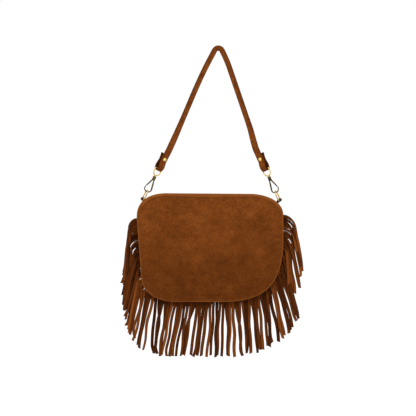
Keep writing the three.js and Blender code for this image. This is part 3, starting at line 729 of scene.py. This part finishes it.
# fringe: a band in the far seam, slit into strips
fringeShape = {
    "y": 21.1, "thickness": 1.2, "width": 5.7, "fullWidth": 6.0, "pitch": 5.85, "length": 105.0,
    "steps": 40,
    "start": nearestU(-148.7, -311), "end": nearestU(115.9, -305),
    "reach": 21.0, "reachLow": 7.0, "cornerReach": 11.0, "fallLeft": 107, "fallRight": 74,
    "seed": 41, "sway": 0.085, "curl": 0.36, "twist": 0.7, "gather": 0.5, "layers": 1.6,
    # where the strips' tips hang: distance along the seam, then across
    "tips": [
        (0, -173.3), (12, -174.4), (25, -172.2), (38, -173.9), (51, -175.7), (64, -173.1), (77, -172.4),
        (90, -169.4), (103, -165.8), (120, -161.9), (128, -154.7), (135, -148.2), (142, -141.8), (149, -134.4),
        (155, -127), (162, -120.6), (168, -113.2), (173, -110.4), (181, -103), (192, -93.8), (204, -80.9),
        (217, -65.2), (232, -50.4), (245, -34.8), (256, -20), (265, -3.4), (276, 6.8), (285, 16), (293, 31.7),
        (300, 37.2), (305, 42.7), (313, 52), (318, 57.5), (324, 63.9), (329, 69.5), (335, 78.7), (342, 83.3),
        (348, 89.8), (355, 94.4), (362, 110.8), (370, 117.4), (376, 123.9), (384, 128.5), (391, 136.8),
        (399, 143.3), (406, 147.7), (417, 144.2), (428, 136.8), (441, 132.4), (454, 144.9), (468, 151.9),
        (483, 152.4), (497, 150),
    ],
}


def tipAt(along):
    tips = fringeShape["tips"]
    for (a0, x0), (a1, x1) in zip(tips, tips[1:]):
        if along <= a1:
            return lerp(x0, x1, (along - a0) / (a1 - a0))
    return tips[-1][1]


def restAngle(lean, bend, length, wanted):
    # the slant at the tip that carries a strip this far sideways
    low, high = -0.9, 0.9
    for step in range(24):
        rest = (low + high) / 2
        turning = lean - rest if abs(lean - rest) > 1e-4 else 1e-4
        sideways = bend * (math.cos(rest) - math.cos(rest + turning)) / turning
        if sideways + (length - bend) * math.sin(rest) < wanted:
            low = rest
        else:
            high = rest
    return rest


def fringeStrip(bm, layers, along, total, tip, shift, slot, chance):
    f = fringeShape
    edge, out = outlineAt(lerp(f["start"], f["end"], along / total))
    side = 1 if out.x >= 0 else -1
    lean = math.acos(min(max(-out.z, -1), 1))
    fall = ease((-311 - edge.z) / (f["fallLeft"] if side < 0 else f["fallRight"]))
    reach = lerp(f["cornerReach"], lerp(f["reach"], f["reachLow"], fall), ease(abs(out.x), 0.6, 1))
    reach *= chance.uniform(0.62, 1.12)
    bend = max(reach * lean, 4.0)
    length = f["length"] + chance.uniform(-4.0, 2.0)
    rest = restAngle(lean, bend, length, side * (tip - edge.x))
    swings = [(chance.uniform(-1, 1) * f["sway"], chance.uniform(50, 100), chance.uniform(0, math.tau))
              for wave in range(2)]
    tipCurl = chance.gauss(0, f["curl"]) * ease(chance.random(), 0.3, 1)
    twist = chance.gauss(0, f["twist"] * 0.5)
    sideways = ease(lean, 0.7, 1.3)
    layer = f["layers"] * slot * lerp(0.75, 1.5, sideways) + chance.uniform(-0.4, 0.4)
    drift = (chance.uniform(-1.2, 1.2), chance.uniform(60, 110), chance.uniform(0, math.tau))
    tint = chance.random()
    width = lerp(f["width"], f["fullWidth"], ease(along, 190, 300)) * chance.uniform(0.84, 1.06)
    rootWidth = chance.uniform(1.05, 1.3)
    rows = []
    place, travelled = edge - out * 1.5, 0.0
    step = (length + 1.5) / f["steps"]
    for row in range(f["steps"] + 1):
        s = max(travelled - 1.5, 0)
        loose = ease(s, 4, 40)
        angle = lerp(lean, rest, min(s / bend, 1))
        angle += loose * sum(a * math.sin(s / wave * math.tau + start) for a, wave, start in swings)
        angle += side * shift / 26 * ease(s, 4, 24) * (1 - ease(s, 34, 60))
        angle += tipCurl * ease(s, length * 0.72, length) ** 2
        turn = side * angle
        share = s / bend
        roll = 0.5 * lean * sideways * ease(share, 0.1, 0.7) * (1 - 0.8 * ease(share, 0.8, 1.9))
        roll += twist * ease(s, 10, length)
        across = Vector((math.cos(turn), 0, math.sin(turn))) * math.cos(roll)
        across.y = math.sin(roll)
        depth = f["y"] + layer * ease(s, 0.2 * bend, max(bend, 18))
        depth += loose * drift[0] * math.sin(s / drift[1] * math.tau + drift[2])
        shadow = 1 - ease(s, lerp(4, 2, sideways), lerp(18, bend * 0.75, sideways))
        half = width / 2 * lerp(rootWidth, 1, ease(s, 2, 22))
        half *= 1 - 0.12 * tint * ease(s, length * 0.85, length)
        rows.append((Vector((place.x, depth, place.z)), across * half, shadow))
        place = place + Vector((math.sin(turn), 0, -math.cos(turn))) * step
        travelled += step
    tinted, cut, deep = layers
    slant = chance.uniform(-1.6, 1.6)
    made = grid(bm, 2, f["steps"])
    for vert in made:
        s, t = vert.co.x, (vert.co.y + 1) / 2
        spot, across, shadow = rows[round(t * f["steps"])]
        vert.co = spot + across * s
        if t > 0.999:
            vert.co.z += slant * s
        vert[tinted], vert[cut] = tint, abs(s)
        # deep holds painted shade: the shadow at the root, more on the strips that hang behind
        vert[deep] = min(shadow + (0.1, 0.0, 0.4)[slot + 1] * ease(t, 0.1, 0.3), 1.0)


def fringeSheet():
    f = fringeShape
    bm = bmesh.new()
    layers = floatLayers(bm, "tint", "cut", "deep")
    chance = random.Random(f["seed"])
    total = (f["end"] - f["start"]) * perimeter
    count = round(total / f["pitch"])
    index = 0
    while index <= count:
        # strips gather in twos, threes and fours, their tips drawn together
        size = min(chance.choice((1, 2, 2, 3, 3, 4)), count + 1 - index)
        group = [total * (index + k) / count for k in range(size)]
        tips = [tipAt(along) for along in group]
        centre = sum(tips) / size
        hold = f["gather"] * chance.uniform(0.4, 1.2) * lerp(1, 0.45, ease(group[0], 190, 280))
        for k, (along, tip) in enumerate(zip(group, tips)):
            slot = (index + k) % 3 - 1
            shift = (centre - tip) * hold + chance.gauss(0, 1.6)
            fringeStrip(bm, layers, along, total, tip, shift, slot, chance)
        index += size
    pad = 2.5 / perimeter
    band = grid(bm, 240, 2)
    for vert in band:
        edge, out = outlineAt(lerp(f["start"] - pad, f["end"] + pad, (vert.co.x + 1) / 2))
        vert.co = edge - out * lerp(-1.0, 6.0, (vert.co.y + 1) / 2) + Vector((0, f["y"], 0))
        # the band in the seam gets painted shade through deep
        vert[layers[0]], vert[layers[2]] = 0.4, 0.8
    return bm


fringe = newPiece("fringe_strips", "bag", ["fringe"], "suede_fringe", [fringeSheet()], crease=60)
thicken(fringe, fringeShape["thickness"], 0.22, offset=0.0)
print("fringe made")


# carrying gear, left and right
class Side:
    # the straight line of pull from the strap's eye to the ring's bar
    def __init__(self, name, out, eye, bar):
        self.name, self.out = name, out
        self.origin = Vector((eye[0], 0, eye[1]))
        self.down = Vector((bar[0] - eye[0], 0, bar[1] - eye[1])).normalized()
        self.outward = Vector((-self.down.z * out, 0, self.down.x * out))
        twist, turn = math.radians(48), math.radians(18)
        self.faceNormal = -self.outward * math.cos(twist) - depthWay * math.sin(twist)
        self.strapWidth = self.outward * math.sin(twist) - depthWay * math.cos(twist)
        self.barAxis = depthWay * math.cos(turn) + self.outward * math.sin(turn)
        self.hook = axesAt(self.outward, self.down.cross(self.outward), self.down, self.origin)

    def at(self, a, across=0.0, axis=None):
        return self.origin + self.down * a + (axis or self.outward) * across


sides = [Side("left", -1, (-112.7, -224), (-139, -274.6)), Side("right", 1, (87.3, -224.4), (110.6, -276))]
wire = 1.1
ringShape = {"bar": 56.0, "centre": 44.8, "radius": 7.4}
eyeShape = {"bar": -6.9, "centre": -0.5, "radius": 7.7}
hookShape = {
    "top": 9.2, "bottom": 17.6, "inner": -3.25, "outer": 2.4, "slotInner": -1.75,
    "half": 2.9, "cheek": 1.9, "pin": (0.6, 15.0), "centre": (0.5, 34.0), "radius": 6.6,
}
gateShape = {"tip": (6.6, 31.6), "eye": 1.8, "bore": 1.0, "half": 1.5}


def barredLoop(line, axis, half, arc):
    # a closed wire: half of its bar side, an arc, and the mirrored half
    points = half + arc + [(a, -across) for a, across in half[:0:-1]]
    path = smoothPath([line.at(a, across, axis) for a, across in points], 96, closed=True)
    return tube(path, axis.cross(line.down), wire, 16, closed=True)


def ringLoop(line):
    bar, centre, r = ringShape["bar"], ringShape["centre"], ringShape["radius"]
    half = [(bar, 0), (bar, 4.6), (bar - 0.55, 6.75), (bar - 2.2, r), (50, r), (centre, r)]
    return barredLoop(line, line.barAxis, half, around(r, range(105, 256, 15), (centre, 0)))


def eyeLoop(line):
    bar, centre, r = eyeShape["bar"], eyeShape["centre"], eyeShape["radius"]
    half = [(bar, 0), (bar, 4.6), (bar + 0.75, 6.9), (bar + 2.6, r), (centre - 1.5, r)]
    return barredLoop(line, line.strapWidth, half, around(r, range(85, -86, -17), (centre, 0)))


def eyeStem(line):
    profile = [(0, 5.9), (1.5, 6.0), (2.15, 6.7), (2.2, 7.6), (1.9, 8.3), (1.75, 8.8), (0.9, 8.85),
               (0.9, 11.68), (1.4, 11.72), (1.45, 12.1), (1.0, 12.5), (0, 12.6)]
    return turned(profile, 24, aim(line.down, line.origin))


def bowWidth(share):
    # thicker along its back arm, finer at the nose
    arm = ease(share, 0.1, 0.2) - ease(share, 0.42, 0.56)
    return wire * (1 + 0.3 * arm - 0.16 * ease(share, 0.8, 1))


def hookBody(line):
    h = hookShape
    low, high = (h["inner"], -h["half"], h["top"]), (h["slotInner"], h["half"], h["bottom"])
    back = block(low, high, 0.45, line.hook)
    cheeks = [block((h["inner"], y0, h["top"]), (h["outer"], y1, h["bottom"]), 0.32, line.hook)
              for y0, y1 in ((-h["half"], -h["cheek"]), (h["cheek"], h["half"]))]
    barrel = turned([(1.2, 9.1), (2.5, 9.1), (2.95, 9.5), (2.95, 11.2), (2.6, 11.4), (1.2, 11.4), (1.2, 9.1)],
                    28, aim(line.down, line.origin))
    x = h["inner"] + 0.82
    points = [(x, 13.6), (x, 17.6)] + around(h["radius"], range(168, -13, -12), h["centre"])
    path = smoothPath([line.at(a, across) for across, a in points], 90)
    bow = tube(path, depthWay, bowWidth, 16)
    return [back, *cheeks, barrel, bow]


def hookPin(line):
    half = hookShape["half"]
    profile = [(0, -half - 0.28), (0.75, -half - 0.22), (1.05, -half), (0.7, -half), (0.7, half),
               (1.05, half), (0.75, half + 0.22), (0, half + 0.28)]
    x, a = hookShape["pin"]
    return turned(profile, 20, aim(depthWay, line.at(a, x)))


def hookGate(line):
    g = gateShape
    x, a = hookShape["pin"]
    start, tip = line.at(a, x), line.at(g["tip"][1], g["tip"][0])
    length = (tip - start).length
    bar = turned([(0, 1.2), (1.0, 1.25), (1.28, 2.2), (1.28, length * 0.5), (1.2, length * 0.7),
                  (1.0, length - 1.2), (0.8, length - 0.25), (0, length)], 18, aim(tip - start, start))
    bore, eye, half = g["bore"], g["eye"], g["half"]
    profile = [(bore, -half), (eye - 0.2, -half), (eye, -half + 0.25), (eye, half - 0.25), (eye - 0.2, half),
               (bore, half), (bore, -half)]
    ring = turned(profile, 24, aim(depthWay, start))
    return [bar, ring]


def ringTab(line):
    # a folded leather loop round the ring's bar, its two tails laid together into the seam
    inward = -outlineAt(seams["tabLeft"] if line.out < 0 else seams["tabRight"])[1]
    inward = (inward - line.barAxis * inward.dot(line.barAxis)).normalized()
    side = line.barAxis.cross(inward)
    points = [(9.2, 0.95), (6, 0.95), (3.7, 1.1)]
    points += around(2.4, range(48, 313, 22)) + [(3.7, -1.1), (6, -0.95), (9.2, -0.95)]
    centre = line.at(ringShape["bar"])
    path = smoothPath([centre + inward * x + side * y for x, y in points], 60)
    bm = bmesh.new()
    return sweep(bm, flatLoop(bm, 1.8, 12.0, 0.45), framesAlong(path, line.barAxis))


def turnedCap(line, way):
    face = 3.22
    dome = [(3.25, face), (3.5, face + 0.25), (3.5, face + 0.55), (3.1, face + 0.95), (2.1, face + 1.45),
            (1.0, face + 1.68), (0, face + 1.74)]
    stem = [(0, 0), (1.4, 0), (1.4, face)] if way > 0 else [(0, face)]
    return turned(stem + dome, 32, aim(line.faceNormal * way, line.at(-26)))


gold, aged = "polished_brass", "aged_brass"
for line in sides:
    n = "_" + line.name
    leaf = block((-1.42, -1.2, 13.4), (-1.2, 1.2, 17.2), 0.08, line.hook)
    newPiece("ring_wire" + n, "ring" + n, ["d_ring" + n], gold, [ringLoop(line)])
    newPiece("eye_wire" + n, "eye" + n, ["swivel_eye" + n], gold, [eyeLoop(line), eyeStem(line)])
    newPiece("hook_body" + n, "hook" + n, ["snap_hook" + n], aged, hookBody(line))
    newPiece("hook_pin" + n, "hook" + n, ["gate_pin" + n], aged, [hookPin(line)])
    newPiece("gate_leaf" + n, "hook" + n, ["gate_spring" + n], "spring_steel", [leaf])
    newPiece("gate_bar" + n, "gate" + n, ["hook_gate" + n], aged, hookGate(line))
    newPiece("tab" + n, "bag", ["ring_tab" + n], "dark_leather", [ringTab(line)])
    for part, way in (("rivet_cap", 1), ("rivet_base", -1)):
        newPiece(part + "_brass" + n, "bag", [part + n], gold, [turnedCap(line, way)])
print("rings, eyes, hooks and rivets made")

# strap: one band whose ends turn round the eyes
strapShape = {
    "width": 13.5, "foldWidth": 11.6, "thickness": 3.0, "pairOffset": 1.65, "bendRadius": 7.6,
    "bendCentre": (-1.2, -6.1), "armTwist": 34, "topTwist": 28, "endTwist": 48, "loopRadius": 5.0,
    "tailEnd": -35.5, "armStart": -46.0, "rivet": -26.0, "corner": 0.85,
}


def strapLoop(line):
    # places and width directions round the eye, from the arm to the tail
    s = strapShape
    bottom = eyeShape["bar"] + wire + 0.4 - (s["loopRadius"] - s["thickness"] / 2)
    r, pair = s["loopRadius"], s["pairOffset"]
    points = [(s["armStart"], -pair, 0), (s["rivet"] - 8, -pair, 0), (s["rivet"], -pair, 0),
              (s["rivet"] + 4, -pair, 0), (-16, -pair - 1.9, 0), (bottom - 3, -r + 0.2, 0)]
    points += [(a, y, 0.06 * k) for k, (a, y) in enumerate(around(r, range(-90, 91, 30), (bottom, 0)))]
    points += [(bottom - 3, r - 0.2, 0.6), (-16, pair + 1.9, 1.1), (s["rivet"] + 4, pair, 1.7),
               (s["rivet"], pair, 1.9), (s["rivet"] - 5, pair + 0.7, 2.1), (s["tailEnd"], pair + 2.2, 2.3)]
    frames = []
    for point in smoothPath(points, 84):
        # the tail lies a little askew and springs away above the rivet
        place = line.at(point.x) - line.faceNormal * point.y + line.strapWidth * point.z
        width = lerp(s["width"], s["foldWidth"], ease(point.x, -14, -7))
        frames.append((place, line.strapWidth.copy(), width / 2))
    return frames


def acrossArm(side, start, end, degrees):
    up = (end - start).normalized()
    inner = Vector((-side * up.z, 0, side * up.x))
    face = inner * math.cos(math.radians(degrees)) - Vector((0, math.sin(math.radians(degrees)), 0))
    return face.cross(up).normalized()


def strapFrames():
    s = strapShape
    left, right = [strapLoop(line) for line in sides]
    centre = Vector((s["bendCentre"][0], 0, s["bendCentre"][1]))
    bend = []
    for k, (x, z) in enumerate(around(1, [lerp(155, 20, k / 18) for k in range(19)])):
        spoke = Vector((x, 0, z))
        twist = math.radians(lerp(s["topTwist"], s["armTwist"], abs(2 * k / 18 - 1) ** 2))
        along = Vector((spoke.z, 0, -spoke.x))
        face = -spoke * math.cos(twist) - Vector((0, math.sin(twist), 0))
        bend.append((centre + spoke * s["bendRadius"], face.cross(along).normalized(), s["width"] / 2))
    arms = []
    for start, end, side in ((left[0][0], bend[0][0], -1), (right[0][0], bend[-1][0], 1)):
        arm = []
        for k in range(1, 36):
            share = k / 36
            degrees = lerp(s["endTwist"], s["armTwist"], ease(share, 0, 0.35))
            bow = math.sin(math.pi * share ** 1.9)
            if side > 0:
                bow = ease(share, 0, 0.25) * (1 - ease(share, 0.85, 1.04))
            slack = Vector((side * 2.6 * bow, 0.8 * math.sin(share * math.pi * 2), 0))
            across = acrossArm(side, start, end, degrees)
            arm.append((start.lerp(end, share) + slack, across, s["width"] / 2))
        arms.append(arm)
    chain = left[::-1] + arms[0] + bend + arms[1][::-1] + right
    frames, last = [], chain[0][1]
    for k, (place, across, half) in enumerate(chain):
        along = (chain[min(k + 1, len(chain) - 1)][0] - chain[max(k - 1, 0)][0]).normalized()
        across = -across if across.dot(last) < 0 else across
        last = across.copy()
        through = along.cross(across).normalized()
        frames.append(axesAt(across * (half / (s["width"] / 2)), through, along, place))
    return frames


def strapBand():
    bm = bmesh.new()
    loop = flatLoop(bm, strapShape["width"], strapShape["thickness"], strapShape["corner"])
    return sweep(bm, loop, strapFrames())


newPiece("strap_band", "bag", ["strap"], "suede_strap", [strapBand()], crease=70)
print("strap made")

# zip
zipShape = {
    "left": -94.0, "right": 58.0, "pitch": 2.5, "tooth": 1.05, "high": 0.85, "slider": 50.0,
    "origin": (-0.08, 0, -273.835), "along": (155, 0, -1.2),
}
zipLine = Vector(zipShape["along"]).normalized()
zipFrame = axesAt(zipLine, depthWay, zipLine.cross(depthWay), zipShape["origin"])


def toothRow(way):
    # cast teeth with a narrower head that reaches between the two teeth opposite
    bm = bmesh.new()
    z = zipShape
    count = int((z["right"] - z["left"]) / z["pitch"])
    for k in range(count):
        x = z["left"] + 0.6 + z["pitch"] * (k + (0.5 if way > 0 else 0))
        root = (0.9, 2.5, z["tooth"] / 2, z["high"])
        head = (-0.35, 1.0, z["tooth"] * 0.42, z["high"] * 0.8)
        for inner, outer, half, high in (root, head):
            cube(bm, (x, way * (inner + outer) / 2, 0), (half * 2, outer - inner, high * 2), zipFrame)
    roundOff(bm, bm.edges[:], 0.16, 1)
    return bm


for name, way in (("near", -1), ("far", 1)):
    newPiece("teeth_" + name, "bag", ["zip_teeth_" + name], "zip_brass", [toothRow(way)])
for name, x in (("left", zipShape["left"] - 2.8), ("right", zipShape["right"] + 0.3)):
    stop = block((x, -2.5, -1.3), (x + 2.5, 2.5, 1.3), 0.45, zipFrame)
    newPiece("stop_" + name, "bag", ["zip_stop_" + name], "zip_brass", [stop])


def sliderBody():
    x = zipShape["slider"]
    plates = [block((x - 5.5, -4.2, low), (x + 5.5, 4.2, high), 0.42, zipFrame, 0.78)
              for low, high in ((1.2, 2.3), (-2.3, -1.2))]
    flanges = [block((x - 5.2, y0, 0.4), (x + 5.2, y1, 1.6), 0.2, zipFrame)
               for y0, y1 in ((-4.15, -3.5), (3.5, 4.15))]
    arch = [(-4.0, 2.1), (-3.9, 3.6), (-3.2, 4.5), (0, 4.75), (3.2, 4.5), (3.9, 3.6), (4.0, 2.1)]
    path = smoothPath([zipFrame @ Vector((x + dx, 0, z)) for dx, z in arch], 36)
    bm = bmesh.new()
    bridge = sweep(bm, flatLoop(bm, 0.9, 1.6, 0.3), framesAlong(path, depthWay))
    return plates + flanges + [bridge]


def pullTab():
    x, axis = zipShape["slider"], 3.25
    bar = turned([(0, -2.9), (0.45, -2.9), (0.6, -2.6), (0.6, 2.6), (0.45, 2.9), (0, 2.9)], 20,
                 zipFrame @ Matrix.Translation((x, 0, axis)) @ Matrix.Rotation(math.radians(-90), 4, "X"))
    arms = [block((x - 6.2, y0, axis - 0.5), (x + 0.5, y1, axis + 0.5), 0.3, zipFrame)
            for y0, y1 in ((1.25, 2.9), (-2.9, -1.25))]
    bm = bmesh.new()
    cube(bm, (x - 13.2, 0, axis), (15.4, 6.3, 1.05))
    upright = [e for e in bm.edges if abs(e.verts[0].co.z - e.verts[1].co.z) > 0.5]
    roundOff(bm, upright, 2.2, 6)
    flats = [f for f in bm.faces if abs(f.normal.z) > 0.9]
    bmesh.ops.inset_region(bm, faces=flats, thickness=0.7, depth=0)
    bmesh.ops.inset_region(bm, faces=flats, thickness=0.25, depth=-0.22)
    rims = [e for e in bm.edges if len(e.link_faces) == 2 and e.calc_face_angle(0) > 1.0]
    roundOff(bm, rims, 0.18, 2)
    bm.transform(zipFrame)
    return [bar, *arms, bm]


newPiece("slider_body", "slider", ["zip_slider"], "zip_brass", sliderBody())
newPiece("pull_tab", "pull", ["zip_pull"], "zip_brass", pullTab())
print("zip made")

# stage, light and camera
stageSetup = {
    "floor": -0.74, "floorRadius": 14, "white": (0.96, 0.96, 0.96, 1), "glow": 0.08, "world": 1.0,
    "target": (-0.02, 0, -0.33),
    # each lamp's place, size and power
    "lamps": {"key": ((-0.9, -1.5, 0.9), 1.2, 9.0), "fill": ((1.3, -1.2, 0.2), 1.4, 3.0)},
    "camera": (-0.020, -1.790, -0.2898), "lens": 85, "sensor": 36,
}


def softLight(name, place, size, power):
    light = bpy.data.lights.new(name, "AREA")
    light.size, light.energy = size, power
    lamp = linked(name, light)
    lamp.location = place
    lamp.rotation_euler = (Vector(stageSetup["target"]) - lamp.location).to_track_quat("-Z", "Y").to_euler()


def stageFloor():
    bm = bmesh.new()
    bmesh.ops.create_circle(bm, cap_ends=True, radius=stageSetup["floorRadius"], segments=64,
                            matrix=Matrix.Translation((0, 0, stageSetup["floor"])))
    mesh = bpy.data.meshes.new("floor")
    bm.to_mesh(mesh)
    bm.free()
    paint = Paint("paleFloor", Base_Color=stageSetup["white"], Roughness=1.0, Specular_IOR_Level=0.0,
                  Emission_Color=(1, 1, 1, 1), Emission_Strength=stageSetup["glow"])
    mesh.materials.append(paint.material)
    floor = linked("floor", mesh)


stageFloor()
world = bpy.data.worlds.new("studio")
world.use_nodes = True
sky = world.node_tree.nodes["Background"].inputs
sky["Color"].default_value, sky["Strength"].default_value = (1, 1, 1, 1), stageSetup["world"]
bpy.context.scene.world = world
bpy.context.scene.view_settings.view_transform = "Standard"
for name, lamp in stageSetup["lamps"].items():
    softLight(name, *lamp)

camera = bpy.data.cameras.new("camera")
camera.lens, camera.sensor_width = stageSetup["lens"], stageSetup["sensor"]
viewer = linked("camera", camera)
viewer.location = stageSetup["camera"]
viewer.rotation_euler = (math.radians(90), 0, 0)
bpy.context.scene.camera = viewer
